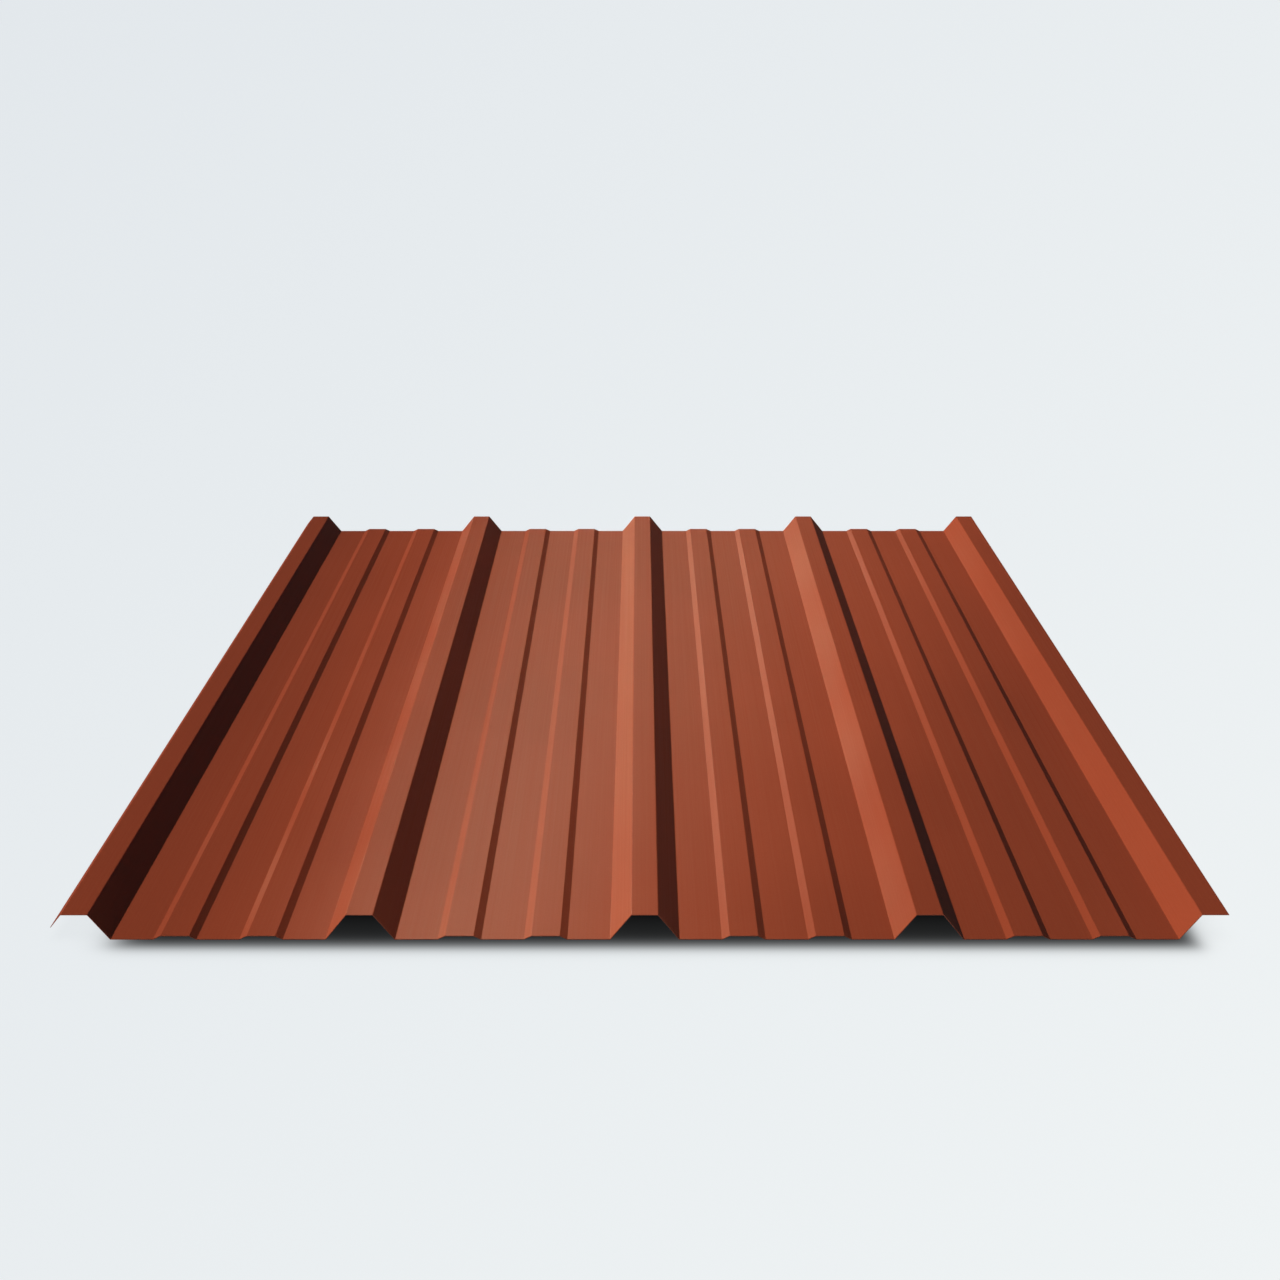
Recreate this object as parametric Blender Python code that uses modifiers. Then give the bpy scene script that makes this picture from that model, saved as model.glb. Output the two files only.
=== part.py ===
"""One length of trapezoidal sheet, rolled from flat prepainted steel.

The sheet lies flat with its ribs up. Its section is the same from end to end, so the model is that
section, folded in the X-Z plane and drawn out along Y. The origin is on the floor, under the middle
of the sheet. +Y runs along the ribs, +X across them towards the underlapping edge, and +Z is up.
All sizes are in metres.
"""

import math

import bmesh
import bpy
from mathutils import Matrix, Vector

# The stock
SHEET_LENGTH = 1.5
STEEL_THICKNESS = 0.0005
BEND_RADIUS = 0.001  # inside the bend

# The ribs. Widths are measured between the sharp corners that the bends round off.
RIB_COUNT = 5
RIB_PITCH = 0.25
RIB_HEIGHT = 0.0232
CREST_WIDTH = 0.0236
RIB_SLOPE_RUN = 0.0186

# The swages, low stiffening folds that share each pan into equal flats
SWAGES_PER_PAN = 2
SWAGE_HEIGHT = 0.0032
SWAGE_TOP_WIDTH = 0.025
SWAGE_SLOPE_RUN = 0.0066

# The lip, the short slope that hangs outside the first rib and laps over the next sheet
LIP_DROP = 0.0118

# How finely each bend is drawn, and the angle past which two faces meet in a sharp edge
BEND_SEGMENTS = 4
SHARP_ANGLE = math.radians(30)

# The paint
PAINT_COLOUR = (0.271, 0.051, 0.023, 1.0)
PAINT_ROUGHNESS = 0.42
PAINT_METALLIC = 0.0

# Worked out from the sizes above, along the middle of the steel
BEND_LINE_RADIUS = BEND_RADIUS + STEEL_THICKNESS / 2
PAN_LEVEL = STEEL_THICKNESS / 2
CREST_LEVEL = PAN_LEVEL + RIB_HEIGHT
SWAGE_LEVEL = PAN_LEVEL + SWAGE_HEIGHT
LIP_RUN = LIP_DROP * RIB_SLOPE_RUN / RIB_HEIGHT
LIP_EDGE_REACH = STEEL_THICKNESS / 2 * RIB_HEIGHT / math.hypot(RIB_HEIGHT, RIB_SLOPE_RUN)
RIB_FOOT_WIDTH = CREST_WIDTH + 2 * RIB_SLOPE_RUN
SWAGE_FOOT_WIDTH = SWAGE_TOP_WIDTH + 2 * SWAGE_SLOPE_RUN
PAN_WIDTH = RIB_PITCH - RIB_FOOT_WIDTH
FLAT_WIDTH = (PAN_WIDTH - SWAGES_PER_PAN * SWAGE_FOOT_WIDTH) / (SWAGES_PER_PAN + 1)


def clear_scene():
    """Removes whatever the file opened with."""
    for item in list(bpy.data.objects):
        bpy.data.objects.remove(item, do_unlink=True)


def swage_corners(start):
    """The four corners of one swage, whose foot begins at start."""
    top_start = start + SWAGE_SLOPE_RUN
    top_end = top_start + SWAGE_TOP_WIDTH
    return [
        Vector((start, PAN_LEVEL)),
        Vector((top_start, SWAGE_LEVEL)),
        Vector((top_end, SWAGE_LEVEL)),
        Vector((top_end + SWAGE_SLOPE_RUN, PAN_LEVEL)),
    ]


def pan_corners(start):
    """The corners of one pan, from the foot of a rib at start to the foot of the next."""
    corners = [Vector((start, PAN_LEVEL))]
    for place in range(SWAGES_PER_PAN):
        before = (place + 1) * FLAT_WIDTH + place * SWAGE_FOOT_WIDTH
        corners += swage_corners(start + before)
    corners.append(Vector((start + PAN_WIDTH, PAN_LEVEL)))
    return corners


def section_corners():
    """The sharp corners of the whole section, left to right, from the lip's edge to the bare edge."""
    corners = [Vector((-LIP_RUN, CREST_LEVEL - LIP_DROP))]
    for rib in range(RIB_COUNT):
        crest_start = rib * RIB_PITCH
        crest_end = crest_start + CREST_WIDTH
        corners.append(Vector((crest_start, CREST_LEVEL)))
        corners.append(Vector((crest_end, CREST_LEVEL)))
        if rib < RIB_COUNT - 1:
            corners += pan_corners(crest_end + RIB_SLOPE_RUN)
    left_reach = corners[0].x - LIP_EDGE_REACH
    middle = (left_reach + corners[-1].x) / 2
    return [Vector((corner.x - middle, corner.y)) for corner in corners]


def bend(before, corner, after):
    """The points of the arc that rounds one corner, tangent to the flats on both sides."""
    arriving = (corner - before).normalized()
    leaving = (after - corner).normalized()
    turn = arriving.angle_signed(leaving)  # clockwise is positive
    setback = BEND_LINE_RADIUS * math.tan(abs(turn) / 2)
    side = math.copysign(1.0, turn)
    to_centre = Vector((arriving.y, -arriving.x)) * side * BEND_LINE_RADIUS
    first = corner - arriving * setback
    centre = first + to_centre
    points = []
    for step in range(BEND_SEGMENTS + 1):
        arm = -to_centre
        arm.rotate(Matrix.Rotation(-turn * step / BEND_SEGMENTS, 2))
        points.append(centre + arm)
    return points


def section_line():
    """The middle line of the steel across the sheet, with every corner bent to its radius."""
    corners = section_corners()
    line = [corners[0]]
    for before, corner, after in zip(corners, corners[1:], corners[2:]):
        line += bend(before, corner, after)
    line.append(corners[-1])
    return line


def draw_out(line):
    """An open surface: the section line drawn out along the sheet's length."""
    work = bmesh.new()
    start = -SHEET_LENGTH / 2
    points = [work.verts.new((point.x, start, point.y)) for point in line]
    edges = [work.edges.new(pair) for pair in zip(points, points[1:])]
    drawn = bmesh.ops.extrude_edge_only(work, edges=edges)["geom"]
    moved = [item for item in drawn if isinstance(item, bmesh.types.BMVert)]
    bmesh.ops.translate(work, verts=moved, vec=(0.0, SHEET_LENGTH, 0.0))
    bmesh.ops.recalc_face_normals(work, faces=work.faces)
    mesh = bpy.data.meshes.new("sheet_surface")
    work.to_mesh(mesh)
    work.free()
    return mesh


def paint_material():
    """Satin baked paint on steel."""
    paint = bpy.data.materials.new("sheet_paint")
    paint.use_nodes = True
    shader = paint.node_tree.nodes["Principled BSDF"]
    shader.inputs["Base Color"].default_value = PAINT_COLOUR
    shader.inputs["Roughness"].default_value = PAINT_ROUGHNESS
    shader.inputs["Metallic"].default_value = PAINT_METALLIC
    paint.diffuse_color = PAINT_COLOUR
    return paint


def make_sheet(collection):
    """The folded sheet, with the steel's thickness laid evenly on both sides of its surface."""
    mesh = draw_out(section_line())
    mesh.materials.append(paint_material())
    sheet = bpy.data.objects.new("profiled_sheet", mesh)
    collection.objects.link(sheet)
    steel = sheet.modifiers.new("steel", "SOLIDIFY")
    steel.thickness = STEEL_THICKNESS
    steel.offset = 0.0
    steel.use_even_offset = True
    steel.use_rim = True
    bpy.context.view_layer.objects.active = sheet
    bpy.ops.object.modifier_apply(modifier=steel.name)
    mesh.shade_smooth()
    mesh.set_sharp_from_angle(angle=SHARP_ANGLE)


def main():
    clear_scene()
    collection = bpy.data.collections.new("trapezoidal_sheet")
    bpy.context.scene.collection.children.link(collection)
    make_sheet(collection)


main()
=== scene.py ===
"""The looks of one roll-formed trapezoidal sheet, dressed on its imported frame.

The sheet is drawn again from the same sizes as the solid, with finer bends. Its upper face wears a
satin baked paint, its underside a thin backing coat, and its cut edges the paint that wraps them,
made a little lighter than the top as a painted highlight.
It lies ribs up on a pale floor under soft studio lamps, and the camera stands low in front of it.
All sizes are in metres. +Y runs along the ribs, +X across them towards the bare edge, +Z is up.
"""

import logging
import math
from dataclasses import dataclass
from enum import Enum

import bpy
import numpy as np
from mathutils import Matrix, Vector


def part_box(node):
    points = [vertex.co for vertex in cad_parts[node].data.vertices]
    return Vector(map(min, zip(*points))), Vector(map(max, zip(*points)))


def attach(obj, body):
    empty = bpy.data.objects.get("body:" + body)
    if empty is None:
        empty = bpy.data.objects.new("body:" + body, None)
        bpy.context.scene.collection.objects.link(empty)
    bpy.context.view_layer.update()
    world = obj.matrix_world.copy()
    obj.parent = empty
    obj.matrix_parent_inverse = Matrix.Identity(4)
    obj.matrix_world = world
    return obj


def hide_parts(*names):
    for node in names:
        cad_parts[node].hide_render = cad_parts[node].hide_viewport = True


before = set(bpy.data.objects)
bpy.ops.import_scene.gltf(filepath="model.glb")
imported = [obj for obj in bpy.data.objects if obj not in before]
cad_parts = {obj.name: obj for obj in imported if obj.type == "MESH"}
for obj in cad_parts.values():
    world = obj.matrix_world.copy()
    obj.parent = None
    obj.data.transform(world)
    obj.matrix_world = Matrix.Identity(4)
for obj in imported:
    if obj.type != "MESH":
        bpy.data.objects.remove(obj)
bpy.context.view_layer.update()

Pair = tuple[float, float]
Triple = tuple[float, float, float]
log = logging.getLogger("trapezoidal_sheet")


class Term:
    """A number inside a shader, on which Python's operators work by adding Math nodes."""

    def __init__(self, shader: "Shader", socket: bpy.types.NodeSocket) -> None:
        """Wraps one output socket.

        Args:
            shader: the tree that the socket is in.
            socket: the output that gives the number.
        """
        self.shader = shader
        self.socket = socket

    def __add__(self, other: "Term | float") -> "Term":
        """self + other"""
        return self.shader.maths("ADD", self, other)

    def __sub__(self, other: "Term | float") -> "Term":
        """self - other"""
        return self.shader.maths("SUBTRACT", self, other)

    def __rsub__(self, other: float) -> "Term":
        """other - self"""
        return self.shader.maths("SUBTRACT", other, self)

    def __mul__(self, other: "Term | float") -> "Term":
        """self * other"""
        return self.shader.maths("MULTIPLY", self, other)

    def __truediv__(self, other: "Term | float") -> "Term":
        """self / other"""
        return self.shader.maths("DIVIDE", self, other)

    def __rtruediv__(self, other: float) -> "Term":
        """other / self"""
        return self.shader.maths("DIVIDE", other, self)

    __radd__ = __add__
    __rmul__ = __mul__

    def __abs__(self) -> "Term":
        """The size of self, without its sign"""
        return self.shader.maths("ABSOLUTE", self)

    def exp(self) -> "Term":
        """e to the power of self"""
        return self.shader.maths("EXPONENT", self)

    def at_least(self, other: "Term | float") -> "Term":
        """The larger of self and other."""
        return self.shader.maths("MAXIMUM", self, other)

    def at_most(self, other: "Term | float") -> "Term":
        """The smaller of self and other."""
        return self.shader.maths("MINIMUM", self, other)


class Shader:
    """The node tree of one material or of the world."""

    def __init__(self, owner: bpy.types.Material | bpy.types.World) -> None:
        """Empties the owner's tree.

        Args:
            owner: the material or the world that the tree belongs to.
        """
        owner.use_nodes = True
        self.tree = owner.node_tree
        self.tree.nodes.clear()

    def node(self, kind: str, settings: dict | None = None, inputs: dict | None = None) -> bpy.types.Node:
        """Adds a node of any kind.

        Args:
            kind: the node's type name.
            settings: what is set on the node itself, before its sockets are filled.
            inputs: for each input socket, by name or number, a plain value, a Term or an output socket.

        Returns:
            The new node.
        """
        made = self.tree.nodes.new(kind)
        for name, value in (settings or {}).items():
            setattr(made, name, value)
        for name, value in (inputs or {}).items():
            source = value.socket if isinstance(value, Term) else value
            if isinstance(source, bpy.types.NodeSocket):
                self.tree.links.new(source, made.inputs[name])
            else:
                made.inputs[name].default_value = source
        return made

    def maths(self, operation: str, *values: Term | float) -> Term:
        """Adds a Math node.

        Args:
            operation: what the node does with its values.
            values: the one or two numbers that it works on.

        Returns:
            The result.
        """
        made = self.node("ShaderNodeMath", {"operation": operation}, dict(enumerate(values)))
        return Term(self, made.outputs[0])

    def place(self) -> bpy.types.NodeSocket:
        """The place on the object, in metres, in the frame that all the pieces share."""
        return self.node("ShaderNodeTexCoord").outputs["Object"]

    def axes(self, place: bpy.types.NodeSocket) -> tuple[Term, Term, Term]:
        """A place's x, y and z as three numbers."""
        split = self.node("ShaderNodeSeparateXYZ", inputs={"Vector": place})
        return tuple(Term(self, output) for output in split.outputs)

    def noise(self, place: bpy.types.NodeSocket, grain: Triple, detail: float = 2.0) -> Term:
        """Cloudy noise from 0 to 1, around a half.

        Args:
            place: where it is read.
            grain: how large one cloud is along X, Y and Z, in metres.
            detail: how many finer layers it has.

        Returns:
            The noise.
        """
        scale = tuple(1.0 / size for size in grain)
        steps = self.node("ShaderNodeVectorMath", {"operation": "MULTIPLY"}, {0: place, 1: scale})
        cloud = self.node(
            "ShaderNodeTexNoise", inputs={"Vector": steps.outputs[0], "Scale": 1.0, "Detail": detail}
        )
        return Term(self, cloud.outputs[0])

    def tinted(self, colour: Triple | bpy.types.NodeSocket, share: Term) -> bpy.types.NodeSocket:
        """A colour made lighter or darker.

        Args:
            colour: the colour where share is 1, or the socket that gives it.
            share: what all three of its channels are multiplied by.

        Returns:
            The changed colour.
        """
        made = self.node("ShaderNodeVectorMath", {"operation": "SCALE"}, {0: colour, "Scale": share})
        return made.outputs[0]

    def seen(self, *rays: str) -> Term:
        """1 for rays of the named kinds and 0 for the others."""
        path = self.node("ShaderNodeLightPath")
        return sum(Term(self, path.outputs[f"Is {ray} Ray"]) for ray in rays).at_most(1.0)

    def between(self, first: Triple, second: Triple, share: Term) -> bpy.types.NodeSocket:
        """The colour that lies between two, first where share is 0 and second where it is 1."""
        first_socket, second_socket, result = 6, 7, 2  # the Mix node's colours
        inputs = {"Factor": share, first_socket: (*first, 1.0), second_socket: (*second, 1.0)}
        return self.node("ShaderNodeMix", {"data_type": "RGBA"}, inputs).outputs[result]

    def layered(
        self, first: bpy.types.NodeSocket, second: bpy.types.NodeSocket, share: Term
    ) -> bpy.types.NodeSocket:
        """The shader that lies between two, first where share is 0 and second where it is 1."""
        return self.node("ShaderNodeMixShader", inputs={0: share, 1: first, 2: second}).outputs[0]

    def close(self, surface: bpy.types.NodeSocket, output: str = "ShaderNodeOutputMaterial") -> None:
        """Links a finished shader to the tree's output."""
        self.node(output, inputs={"Surface": surface})


class Side(Enum):
    """The faces of the sheet that have a finish of their own. The values are material slots."""

    PAINTED = 0
    BACKED = 1
    CUT = 2


@dataclass(frozen=True)
class Coat:
    """A coat of paint on steel: an even colour with faint clouds, fine orange peel and rolling marks.

    Each layer of relief is a noise around a half, so a height of h metres moves the surface by up to
    half of h up or down.
    """

    name: str
    colour: Triple
    roughness: float
    cloud_share: float
    grain_share: float
    roughness_swing: float
    peel_height: float
    streak_height: float
    cloud_grain: Triple = (0.09, 0.30, 0.09)
    fine_grain: Triple = (0.0008, 0.0010, 0.0008)
    peel_grain: Triple = (0.0022, 0.0030, 0.0022)
    streak_grain: Triple = (0.0011, 0.60, 0.0011)

    def material(self) -> bpy.types.Material:
        """Makes the coat as a material.

        Colour: the even colour times 1 plus the clouds and the fine grain, each centred on zero.
        Roughness: the even roughness plus the streaks. Relief: orange peel plus streaks, in metres.

        Returns:
            The material.
        """
        made = bpy.data.materials.new(self.name)
        shader = Shader(made)
        place = shader.place()
        cloud = shader.noise(place, self.cloud_grain) - 0.5
        grain = shader.noise(place, self.fine_grain) - 0.5
        streak = shader.noise(place, self.streak_grain) - 0.5
        peel = shader.noise(place, self.peel_grain, detail=1.0)
        relief = peel * self.peel_height + streak * self.streak_height
        bump = shader.node("ShaderNodeBump", inputs={"Strength": 1.0, "Distance": 1.0, "Height": relief})
        skin = shader.node(
            "ShaderNodeBsdfPrincipled",
            inputs={
                "Base Color": shader.tinted(
                    self.colour, 1.0 + cloud * self.cloud_share + grain * self.grain_share
                ),
                "Roughness": self.roughness + streak * self.roughness_swing,
                "Normal": bump.outputs[0],
            },
        )
        shader.close(skin.outputs[0])
        made.diffuse_color = (*self.colour, 1.0)
        return made


@dataclass(frozen=True)
class Section:
    """The rolled section of the sheet, looked at along its ribs.

    Widths are measured between the sharp corners that the bends round off, along the middle of the
    steel. The section is worked out from left to right and centred under its own box.
    """

    height: float
    steel: float = 0.0005
    bend_radius: float = 0.001
    rib_count: int = 5
    rib_pitch: float = 0.25
    crest_width: float = 0.0236
    rib_slope_run: float = 0.0186
    swages_per_pan: int = 2
    swage_height: float = 0.0032
    swage_top_width: float = 0.025
    swage_slope_run: float = 0.0066
    lip_drop: float = 0.0118
    bend_steps: int = 8
    flat_margin: float = 0.0004

    def corners(self) -> np.ndarray:
        """The sharp corners of the section.

        A crest and the pan after it make a pattern that repeats at the rib pitch. A lip hangs
        outside the first crest, and the last crest ends the section.

        Returns:
            The corners from left to right, as rows of x and z.
        """
        low = self.steel / 2
        high = self.height - self.steel / 2
        foot_width = self.crest_width + 2 * self.rib_slope_run
        swage_foot = self.swage_top_width + 2 * self.swage_slope_run
        pan_width = self.rib_pitch - foot_width
        flat = (pan_width - self.swages_per_pan * swage_foot) / (self.swages_per_pan + 1)
        swage = np.array([
            (0.0, 0.0),
            (self.swage_slope_run, self.swage_height),
            (swage_foot - self.swage_slope_run, self.swage_height),
            (swage_foot, 0.0),
        ])
        swage_starts = flat + (flat + swage_foot) * np.arange(self.swages_per_pan)
        swages = repeated(swage, swage_starts)
        pan = np.vstack([(0.0, 0.0), swages, (pan_width, 0.0)])
        pan += (self.crest_width + self.rib_slope_run, low)
        crest = np.array([(0.0, high), (self.crest_width, high)])
        rib_starts = self.rib_pitch * np.arange(self.rib_count)
        rise = high - low
        lip = (-self.lip_drop * self.rib_slope_run / rise, high - self.lip_drop)
        line = np.vstack([
            lip,
            repeated(np.vstack([crest, pan]), rib_starts[:-1]),
            repeated(crest, rib_starts[-1:]),
        ])
        edge_reach = self.steel / 2 * rise / math.hypot(rise, self.rib_slope_run)
        line[:, 0] -= (line[0, 0] - edge_reach + line[-1, 0]) / 2
        return line

    def middle_line(self) -> tuple[np.ndarray, np.ndarray]:
        """The middle of the steel, with every corner bent to its radius.

        Each bend is an arc, tangent to the flats on both sides: its centre lies one radius to the
        inside of the first tangent point, and its points turn evenly from one flat's direction to
        the next one's. A point on the flat beside each end of a bend keeps the flat's shading flat.

        Returns:
            The points, and the unit normals on the painted side, as rows of x and z.
        """
        corners = self.corners()
        along = unit(np.diff(corners, axis=0))
        arriving, leaving = along[:-1], along[1:]
        heading = np.arctan2(arriving[:, 1], arriving[:, 0])
        turn = np.arctan2(leaving[:, 1], leaving[:, 0]) - heading
        radius = self.bend_radius + self.steel / 2
        first = corners[1:-1] - arriving * (radius * np.tan(np.abs(turn) / 2))[:, None]
        centre = first + left_of(arriving) * (np.sign(turn) * radius)[:, None]
        angles = heading[:, None] + turn[:, None] * np.linspace(0.0, 1.0, self.bend_steps + 1)
        normals = np.stack([-np.sin(angles), np.cos(angles)], axis=-1)
        arcs = centre[:, None] - normals * (np.sign(turn) * radius)[:, None, None]
        before = arcs[:, :1] - arriving[:, None] * self.flat_margin
        after = arcs[:, -1:] + leaving[:, None] * self.flat_margin
        points = np.concatenate([before, arcs, after], axis=1).reshape(-1, 2)
        facing = np.concatenate([normals[:, :1], normals, normals[:, -1:]], axis=1).reshape(-1, 2)
        return (
            np.vstack([corners[0], points, corners[-1]]),
            np.vstack([facing[0], facing, facing[-1]]),
        )


def repeated(shape: np.ndarray, starts: np.ndarray) -> np.ndarray:
    """Copies of a row of points, moved along x to each start in turn."""
    moves = np.stack([starts, np.zeros_like(starts)], axis=-1)
    return (shape[None] + moves[:, None]).reshape(-1, 2)


def unit(vectors: np.ndarray) -> np.ndarray:
    """Rows of x and z, each made one long."""
    return vectors / np.linalg.norm(vectors, axis=-1, keepdims=True)


def left_of(vectors: np.ndarray) -> np.ndarray:
    """Rows of x and z, each turned a quarter turn anticlockwise."""
    return np.stack([-vectors[:, 1], vectors[:, 0]], axis=-1)


@dataclass(frozen=True)
class Strip:
    """A level band of the texture map, from low to high in V."""

    low: float
    high: float

    def at(self, share: np.ndarray) -> np.ndarray:
        """The V at a share of the way up the strip."""
        return self.low + (self.high - self.low) * share


@dataclass(frozen=True)
class FlatPattern:
    """The texture map: the sheet's faces laid flat, each in a strip of its own.

    The painted and the backed face lie with the sheet's width along U. The long rims lie with the
    sheet's length along U, and the two ends with its width along U.
    """

    painted: Strip = Strip(0.010, 0.600)
    backed: Strip = Strip(0.620, 0.900)
    left_rim: Strip = Strip(0.915, 0.930)
    right_rim: Strip = Strip(0.935, 0.950)
    front_end: Strip = Strip(0.955, 0.970)
    back_end: Strip = Strip(0.975, 0.990)
    across: Strip = Strip(0.010, 0.990)

    def skin(self, width: np.ndarray, length: np.ndarray) -> np.ndarray:
        """The map of the faces that run along the sheet.

        Args:
            width: how far across the flat sheet each point of the middle line is, from 0 to 1.
            length: how far along the sheet each row is, from 0 to 1.

        Returns:
            U and V for each row but the last, point of the loop, and corner of its face.
        """
        count, rows = len(width), len(length)
        loop = np.concatenate([width, width[::-1]])
        u = self.across.at(np.stack([loop, np.roll(loop, -1), np.roll(loop, -1), loop], -1))
        steps = np.stack([length[:-1], length[:-1], length[1:], length[1:]], -1)
        placed = np.empty((rows - 1, 2 * count, 4, 2))
        placed[..., 0] = u
        placed[:, :count, :, 1] = self.painted.at(steps)[:, None]
        placed[:, count:, :, 1] = self.backed.at(steps)[:, None]
        through = np.array([0.0, 1.0, 1.0, 0.0])
        for place, rim in ((count - 1, self.right_rim), (2 * count - 1, self.left_rim)):
            placed[:, place, :, 0] = self.across.at(steps)
            placed[:, place, :, 1] = rim.at(through)
        return placed

    def end(self, width: np.ndarray, strip: Strip) -> np.ndarray:
        """The map of the faces across one end.

        Args:
            width: how far across the flat sheet each point of the middle line is, from 0 to 1.
            strip: the strip that the end lies in.

        Returns:
            U and V for each face and its corners top, under, under and top.
        """
        placed = np.empty((len(width) - 1, 4, 2))
        placed[..., 0] = self.across.at(np.stack([width[:-1], width[:-1], width[1:], width[1:]], -1))
        placed[..., 1] = strip.at(np.array([1.0, 0.0, 0.0, 1.0]))
        return placed


@dataclass
class RolledSheet:
    """The whole sheet: its section carried along the length as one closed skin."""

    section: Section
    length: float
    coats: dict[Side, Coat]
    pattern: FlatPattern = FlatPattern()
    rows: int = 31
    sharp_angle: float = 30.0
    node: str = "profiled_sheet"
    slot: str = "painted_steel"
    name: str = "rolled_sheet"

    def points(self) -> np.ndarray:
        """The skin's points, row after row along the sheet.

        The loop runs round the section: the middle line moved out by half the steel along its
        normals, left to right, and then moved by half the steel the other way, right to left. The
        point of the skin at u and v is the loop's point u, carried along Y to the length v.

        Returns:
            X, Y and Z for each row and point of the loop.
        """
        line, normals = self.section.middle_line()
        half = normals * self.section.steel / 2
        loop = np.vstack([line + half, (line - half)[::-1]])
        points = np.empty((self.rows, len(loop), 3))
        points[..., 0] = loop[:, 0]
        points[..., 1] = np.linspace(-self.length / 2, self.length / 2, self.rows)[:, None]
        points[..., 2] = loop[:, 1]
        return points

    def faces(self, around: int) -> tuple[np.ndarray, np.ndarray]:
        """The skin's faces: between rows they join neighbours of the loop, and at both ends they
        join each point on top with the one below it.

        Args:
            around: how many points the loop has.

        Returns:
            The faces as rows of four point numbers, and the value of the Side of each.
        """
        count = around // 2
        here = np.arange(around)
        there = (here + 1) % around
        start = around * np.arange(self.rows - 1)[:, None]
        skin = np.stack([start + here, start + there, start + around + there, start + around + here], -1)
        sides = np.full((self.rows - 1, around), Side.PAINTED.value)
        sides[:, count:] = Side.BACKED.value
        sides[:, [count - 1, around - 1]] = Side.CUT.value
        top = np.arange(count - 1)
        under = around - 1 - top
        front = np.stack([top, under, under - 1, top + 1], -1)
        back = front[:, ::-1] + around * (self.rows - 1)
        ends = np.full(2 * len(front), Side.CUT.value)
        return np.vstack([skin.reshape(-1, 4), front, back]), np.concatenate([sides.ravel(), ends])

    def map(self) -> np.ndarray:
        """The texture map of the whole skin, whose widths are measured along the middle of the steel.

        Returns:
            U and V for each corner of each face, in the order of the faces.
        """
        line, _ = self.section.middle_line()
        steps = np.linalg.norm(np.diff(line, axis=0), axis=1)
        width = np.concatenate([[0.0], np.cumsum(steps)])
        width /= width[-1]
        skin = self.pattern.skin(width, np.linspace(0.0, 1.0, self.rows))
        front = self.pattern.end(width, self.pattern.front_end)
        back = self.pattern.end(width, self.pattern.back_end)[:, ::-1]
        return np.concatenate([skin.reshape(-1, 2), front.reshape(-1, 2), back.reshape(-1, 2)])

    def build(self) -> bpy.types.Object:
        """Makes the sheet's object, with its finishes on.

        Returns:
            The object.
        """
        points = self.points()
        faces, sides = self.faces(points.shape[1])
        mesh = bpy.data.meshes.new(self.name)
        mesh.from_pydata(points.reshape(-1, 3), [], faces.tolist())
        for side in Side:
            mesh.materials.append(self.coats[side].material())
        mesh.polygons.foreach_set("material_index", sides.astype(np.int32))
        mesh.uv_layers.new(name="OFBake").uv.foreach_set("vector", self.map().astype(np.float32).ravel())
        mesh.shade_smooth()
        mesh.set_sharp_from_angle(angle=math.radians(self.sharp_angle))
        sheet = bpy.data.objects.new(self.name, mesh)
        bpy.context.scene.collection.objects.link(sheet)
        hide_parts(self.node)
        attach(sheet, "root")
        return sheet


@dataclass(frozen=True)
class PaintedShadeEdge:
    """A soft edge of the painted contact shade on the floor: where it is half as dark, and how far it
    takes to fade.

    Its curve is 1 over 1 plus e to a power, which is the distance past the middle over the fade. The
    power is held at its limit, where nothing is left of the shade.
    """

    middle: float
    fade: float
    power_limit: float = 60.0

    def inside(self, place: Term, towards: float) -> Term:
        """How much of the painted shade is left at a place.

        Args:
            place: the place along the edge's axis.
            towards: 1 where the shade ends at a higher place than the middle, and -1 at a lower.

        Returns:
            1 inside the shade, 0 outside.
        """
        power = (place - self.middle) * (towards / self.fade)
        return 1.0 / (1.0 + power.at_most(self.power_limit).exp())


@dataclass(frozen=True)
class Wash:
    """The pale colour that floor and backdrop share, a little lighter to the right and the front.

    The lines of one colour fan out over the floor from a centre in front of the sheet, and run on
    up the backdrop, so the horizon doesn't show.
    """

    dark: Triple = (0.768, 0.807, 0.839)
    light: Triple = (0.863, 0.896, 0.905)
    centre: Pair = (-0.82127, -2.68508)
    centre_share: float = 0.2518
    spread: float = 0.86016
    nearest: float = 0.83551

    def share(self, x: Term, y: Term) -> Term:
        """How far the colour has come from the dark one to the light one.

        It is the centre's share plus the spread times the distance to the right of the centre, over
        the distance in front of it or behind it, which counts as no less than the nearest.

        Args:
            x: the place across the sheet.
            y: the place along it.

        Returns:
            0 for the dark colour, 1 for the light one.
        """
        right = x - self.centre[0]
        along = abs(y - self.centre[1]).at_least(self.nearest)
        return (right * self.spread / along + self.centre_share).at_least(0.0).at_most(1.0)


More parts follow.
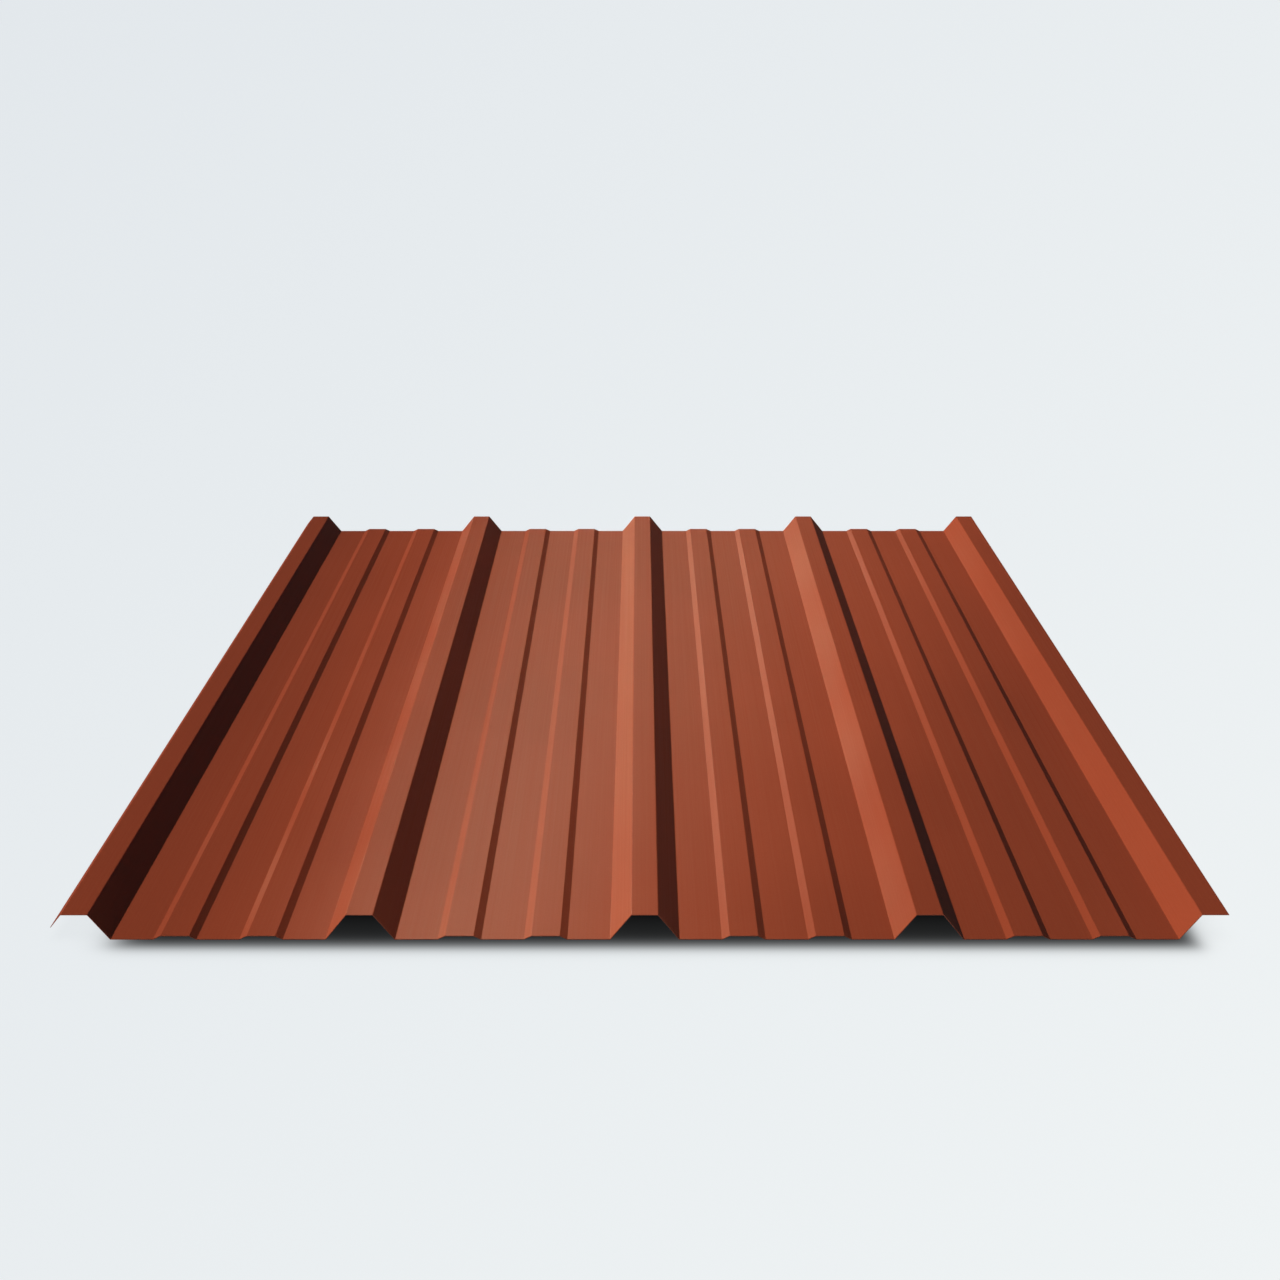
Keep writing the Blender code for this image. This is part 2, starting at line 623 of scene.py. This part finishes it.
@dataclass(frozen=True)
class Floor:
    """A plain pale floor, which shows its own colour with a painted contact shade round the sheet, and a
    small share of the sheet's real shadow.
    """

    wash: Wash
    painted_shade_left: PaintedShadeEdge
    painted_shade_right: PaintedShadeEdge
    painted_shade_front: PaintedShadeEdge
    painted_shade_back: PaintedShadeEdge
    painted_light_edge: PaintedShadeEdge
    # how much painted light is put back on the floor under the ribs near the front
    painted_light_level: float = 0.02
    lit_share: float = 0.05
    half_size: float = 100.0

    def painted_brightness(self, x: Term, y: Term) -> Term:
        """The floor's painted brightness at a place, painted into its colour and not worked out by the
        lamps.

        The painted contact shade is the product of its four soft edges. Where the floor shows under a
        rib, painted light comes in from the front and dies away further in.

        Args:
            x: the place across the sheet.
            y: the place along it.

        Returns:
            1 on the open floor, towards 0 under the sheet.
        """
        across = self.painted_shade_left.inside(x, -1.0) * self.painted_shade_right.inside(x, 1.0)
        along = self.painted_shade_front.inside(y, -1.0) * self.painted_shade_back.inside(y, 1.0)
        painted_light_share = self.painted_light_edge.inside(y, 1.0) * self.painted_light_level
        return 1.0 - across * along * (1.0 - painted_light_share)

    def material(self) -> bpy.types.Material:
        """Makes the floor's finish: its own plain colour darkened by the painted contact shade, mostly
        shown as it is, and a share that the lamps light.

        Returns:
            The material.
        """
        made = bpy.data.materials.new("pale_floor")
        shader = Shader(made)
        x, y, _ = shader.axes(shader.place())
        plain = shader.between(self.wash.dark, self.wash.light, self.wash.share(x, y))
        # the floor's own colour darkened by the painted contact shade, with painted light under the ribs
        # near the front
        painted_shade_colour = shader.tinted(plain, self.painted_brightness(x, y))
        shown = shader.node("ShaderNodeEmission", inputs={"Color": painted_shade_colour, "Strength": 1.0})
        lit = shader.node("ShaderNodeBsdfDiffuse", inputs={"Color": painted_shade_colour})
        own = shader.seen("Camera", "Glossy", "Transmission") * (1.0 - self.lit_share)
        shader.close(shader.layered(lit.outputs[0], shown.outputs[0], own))
        return made

    def build(self) -> bpy.types.Object:
        """Lays the floor at the height on which the sheet rests.

        Returns:
            The floor's object.
        """
        mesh = bpy.data.meshes.new("floor")
        corners = np.array([(-1, -1, 0), (1, -1, 0), (1, 1, 0), (-1, 1, 0)]) * self.half_size
        mesh.from_pydata(corners, [], [(0, 1, 2, 3)])
        mesh.materials.append(self.material())
        floor = bpy.data.objects.new("floor", mesh)
        bpy.context.scene.collection.objects.link(floor)
        return floor


@dataclass(frozen=True)
class Hood:
    """A dark cloth hood close round the sheet, which only glossy rays meet.

    It keeps the pale room out of the satin paint, as black cloth does in a studio. Its bottom lies
    within the steel of the pans, which glossy rays don't meet.
    """

    reach: Pair = (0.518, 0.752)
    bottom: float = 0.0002
    top: float = 0.40
    radiance: float = 0.035

    def build(self) -> bpy.types.Object:
        """Hangs the hood: a closed box, whose walls stand at its reach from the sheet's middle.

        Returns:
            The hood's object.
        """
        mesh = bpy.data.meshes.new("hood")
        ring = np.array([(-1, -1), (1, -1), (1, 1), (-1, 1)]) * self.reach
        corners = [(*corner, height) for height in (self.bottom, self.top) for corner in ring]
        walls = [(0, 4, 5, 1), (1, 5, 6, 2), (2, 6, 7, 3), (3, 7, 4, 0), (0, 1, 2, 3), (4, 7, 6, 5)]
        mesh.from_pydata(corners, [], walls)
        mesh.materials.append(self.material())
        hood = bpy.data.objects.new("hood", mesh)
        bpy.context.scene.collection.objects.link(hood)
        for ray in ("camera", "diffuse", "transmission", "volume_scatter", "shadow"):
            setattr(hood, f"visible_{ray}", False)
        return hood

    def material(self) -> bpy.types.Material:
        """Makes the cloth's dark finish, which gives back the same little light everywhere.

        Returns:
            The material.
        """
        made = bpy.data.materials.new("dark_cloth")
        shader = Shader(made)
        dim = (self.radiance, self.radiance, self.radiance, 1.0)
        cloth = shader.node("ShaderNodeEmission", inputs={"Color": dim, "Strength": 1.0})
        shader.close(cloth.outputs[0])
        return made


@dataclass(frozen=True)
class Surround:
    """What lies beyond the floor: dim light for the sheet, and a pale backdrop for the eye."""

    wash: Wash
    ambient: float = 0.04
    backdrop_distance: float = 10000.0

    def build(self) -> None:
        """Makes the scene's world.

        There the place that a ray meets is one metre off in its direction, so it is moved out to the
        backdrop, for its colour to join on to the floor's.
        """
        world = bpy.data.worlds.new("studio")
        bpy.context.scene.world = world
        shader = Shader(world)
        x, y, _ = shader.axes(shader.place())
        share = self.wash.share(x * self.backdrop_distance, y * self.backdrop_distance)
        dim = self.plain(shader, (self.ambient, self.ambient, self.ambient))
        dark = self.plain(shader, self.wash.dark)
        light = self.plain(shader, self.wash.light)
        pale = shader.layered(dark, light, share)
        seen = shader.seen("Camera", "Glossy", "Transmission")
        shader.close(shader.layered(dim, pale, seen), "ShaderNodeOutputWorld")

    def plain(self, shader: Shader, colour: Triple) -> bpy.types.NodeSocket:
        """A backdrop of one colour all round."""
        made = shader.node("ShaderNodeBackground", inputs={"Color": (*colour, 1.0), "Strength": 1.0})
        return made.outputs[0]


class Kind(Enum):
    """The two kinds of lamp. The values are what a lamp's data calls them."""

    SUN = "SUN"
    PANEL = "AREA"


@dataclass(frozen=True)
class Lamp:
    """One studio lamp, turned to its target.

    The irradiance is what falls on a surface that faces the lamp, in watts per square metre. For a
    panel that holds inside its beam, which the honeycomb in front of it keeps about as wide as the
    panel itself. The beam's edges fade over beam_fade on either side. A sun's softness is how wide
    it looks, in degrees. The light is only sampled from the lamp's side, so the dark hood between
    the lamp and the sheet doesn't dim it.
    """

    name: str
    kind: Kind
    irradiance: float
    towards: Triple
    target: Triple = (0.0, 0.0, 0.0)
    distance: float = 1.5
    softness: float = 0.0
    size: Pair = (1.0, 1.0)
    beam_fade: float = 0.2
    colour: Triple = (1.0, 1.0, 1.0)
    shadows: bool = True
    glossy: bool = True

    def facing(self) -> Matrix:
        """The lamp's place and turn. Its width lies as near to the X axis as its aim allows.

        Returns:
            The matrix that places the lamp.
        """
        back = Vector(self.towards).normalized()
        across = (Vector((1.0, 0.0, 0.0)) - back * back.x).normalized()
        up = back.cross(across)
        turned = Matrix((across, up, back)).transposed().to_4x4()
        return Matrix.Translation(Vector(self.target) + back * self.distance) @ turned

    def build(self, lit: bpy.types.Collection) -> bpy.types.Object:
        """Hangs the lamp.

        Args:
            lit: the only things that it lights.

        Returns:
            The lamp's object.
        """
        data = bpy.data.lights.new(self.name, self.kind.value)
        data.color = self.colour
        data.use_shadow = self.shadows
        data.cycles.use_multiple_importance_sampling = False
        if self.kind is Kind.SUN:
            data.energy = self.irradiance
            data.angle = math.radians(self.softness)
        else:
            data.energy = self.irradiance * self.size[0] * self.size[1]
            data.shape = "RECTANGLE"
            data.size, data.size_y = self.size
            data.spread = 2 * math.atan(self.beam_fade / self.distance)
        lamp = bpy.data.objects.new(self.name, data)
        lamp.matrix_world = self.facing()
        lamp.visible_glossy = self.glossy
        bpy.context.scene.collection.objects.link(lamp)
        lamp.light_linking.receiver_collection = lit
        return lamp


@dataclass(frozen=True)
class SheenRow:
    """A row of panels over the sheet, whose beams join into one soft band of light along it.

    The band's left and right edges run straight from its front to its back, and it reaches past both
    ends of the sheet. Each edge is given by its two places across the sheet, front and back.
    """

    name: str
    irradiance: float
    towards: Triple
    left: Pair
    right: Pair
    beam_fade: float
    colour: Triple = (1.0, 1.0, 1.0)
    glossy: bool = True
    length: float = 1.9
    panels: int = 6

    def lamps(self) -> list[Lamp]:
        """The panels. Each is as wide and long as its share of the band looks from it.

        Returns:
            The panels from front to back.
        """
        step = self.length / self.panels
        aim = Vector(self.towards).normalized()
        wide = math.hypot(aim.y, aim.z)
        made = []
        for place in range(self.panels):
            share = (place + 0.5) / self.panels
            left = self.left[0] + (self.left[1] - self.left[0]) * share
            right = self.right[0] + (self.right[1] - self.right[0]) * share
            made.append(Lamp(
                name=f"{self.name}_{place + 1}",
                kind=Kind.PANEL,
                irradiance=self.irradiance,
                towards=self.towards,
                target=((left + right) / 2, (share - 0.5) * self.length, 0.0),
                size=((right - left) * wide, step * aim.z / wide),
                beam_fade=self.beam_fade,
                colour=self.colour,
                glossy=self.glossy,
            ))
        return made


@dataclass(frozen=True)
class PhotoCamera:
    """The camera at the photograph's place.

    It looks down by its pitch and turns to the left by its yaw, in degrees. Its focal length is in
    pixels of the picture's width.
    """

    place: Triple = (0.0002, -2.4478, 0.78666)
    pitch: float = 16.773
    yaw: float = -0.016
    focal_pixels: float = 2108.5
    picture_width: float = 1280.0
    sensor: float = 36.0
    clip: Pair = (0.01, 500.0)

    def build(self) -> bpy.types.Object:
        """Makes the camera and gives it to the scene.

        Returns:
            The camera's object.
        """
        data = bpy.data.cameras.new("camera")
        data.sensor_width = self.sensor
        data.sensor_fit = "HORIZONTAL"
        data.lens = self.focal_pixels / self.picture_width * self.sensor
        data.clip_start, data.clip_end = self.clip
        camera = bpy.data.objects.new("camera", data)
        camera.location = self.place
        camera.rotation_euler = (math.radians(90.0 - self.pitch), 0.0, math.radians(self.yaw))
        bpy.context.scene.collection.objects.link(camera)
        bpy.context.scene.camera = camera
        return camera


COATS = {
    Side.PAINTED: Coat(
        name="satin_paint",
        colour=(0.271, 0.0485, 0.0190),
        roughness=0.42,
        cloud_share=0.14,
        grain_share=0.28,
        roughness_swing=0.16,
        peel_height=3.5e-5,
        streak_height=6.0e-6,
    ),
    Side.BACKED: Coat(
        name="backing_coat",
        colour=(0.56, 0.55, 0.52),
        roughness=0.5,
        cloud_share=0.12,
        grain_share=0.16,
        roughness_swing=0.14,
        peel_height=2.5e-5,
        streak_height=6.0e-6,
    ),
    Side.CUT: Coat(
        # the paint on the cut edges, a little lighter than the satin paint as a painted highlight along
        # them
        name="cut_edge_paint_lightened",
        colour=(0.30, 0.060, 0.026),
        roughness=0.5,
        cloud_share=0.05,
        grain_share=0.12,
        roughness_swing=0.05,
        peel_height=3.0e-6,
        streak_height=0.0,
    ),
}
WASH = Wash()
FLOOR = Floor(
    wash=WASH,
    # soft edges of the painted contact shade, and of the painted light under the ribs near the front
    painted_shade_left=PaintedShadeEdge(middle=-0.4615, fade=0.0074),
    painted_shade_right=PaintedShadeEdge(middle=0.4900, fade=0.0045),
    painted_shade_front=PaintedShadeEdge(middle=-0.7686, fade=0.00605),
    painted_shade_back=PaintedShadeEdge(middle=0.73, fade=0.006),
    painted_light_edge=PaintedShadeEdge(middle=-0.7054, fade=0.012),
)
KEY = Lamp(
    name="key",
    kind=Kind.SUN,
    irradiance=4.73,
    towards=(-1.732, 0.0, 1.0),
    softness=10.0,
    shadows=False,
    glossy=False,
)
FRONT_FILL = Lamp(
    name="front_fill",
    kind=Kind.SUN,
    irradiance=0.55,
    towards=(0.0, -1.0, 0.07),
    softness=6.0,
    glossy=False,
)
WIDE_GLOW = SheenRow(
    name="wide_glow",
    irradiance=1.08,
    towards=(-0.338, 0.259, 1.0),
    left=(-0.332, -0.407),
    right=(0.075, 0.657),
    beam_fade=0.156,
    glossy=False,
)
SHEEN = SheenRow(
    name="sheen",
    irradiance=0.86,
    towards=(-0.370, 1.20, 1.0),
    left=(-0.178, -0.152),
    right=(-0.034, 0.380),
    beam_fade=0.213,
    colour=(1.0, 1.0, 0.72),
)
LOW_SHEEN = SheenRow(
    name="low_sheen",
    irradiance=0.32,
    towards=(-2.14, 3.05, 1.0),
    left=(-0.245, -0.190),
    right=(0.060, 0.420),
    beam_fade=0.10,
    colour=(1.0, 1.0, 0.65),
)
OVERHEAD = Lamp(name="overhead", kind=Kind.SUN, irradiance=2.98, towards=(0.0, 0.0, 1.0), softness=60.0)
SHEET_LAMPS = [KEY, FRONT_FILL, *WIDE_GLOW.lamps(), *SHEEN.lamps(), *LOW_SHEEN.lamps()]
FLOOR_LAMPS = [OVERHEAD]


def link_only(name: str, *things: bpy.types.Object) -> bpy.types.Collection:
    """A collection outside the scene, which names what a lamp lights.

    Args:
        name: the collection's name.
        things: the only things that the lamp lights.

    Returns:
        The collection.
    """
    made = bpy.data.collections.new(name)
    for thing in things:
        made.objects.link(thing)
    return made


def main() -> None:
    """Builds the camera, the sheet, the stage and the lamps, in that order, and reports each."""
    logging.basicConfig(level=logging.INFO, format="%(message)s")
    bpy.context.scene.view_settings.view_transform = "Standard"
    PhotoCamera().build()
    low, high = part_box("profiled_sheet")
    sheet = RolledSheet(Section(height=high.z), high.y - low.y, COATS).build()
    sheet.visible_glossy = False
    floor = FLOOR.build()
    hood = Hood().build()
    Surround(WASH).build()
    for piece in (sheet, floor, hood):
        log.info("%s: %d faces", piece.name, len(piece.data.polygons))
    for lamps, thing in ((SHEET_LAMPS, sheet), (FLOOR_LAMPS, floor)):
        lit = link_only(f"lit_{thing.name}", thing)
        for lamp in lamps:
            hung = lamp.build(lit)
            log.info("%s lights %s", hung.name, thing.name)


if __name__ == "__main__":
    main()
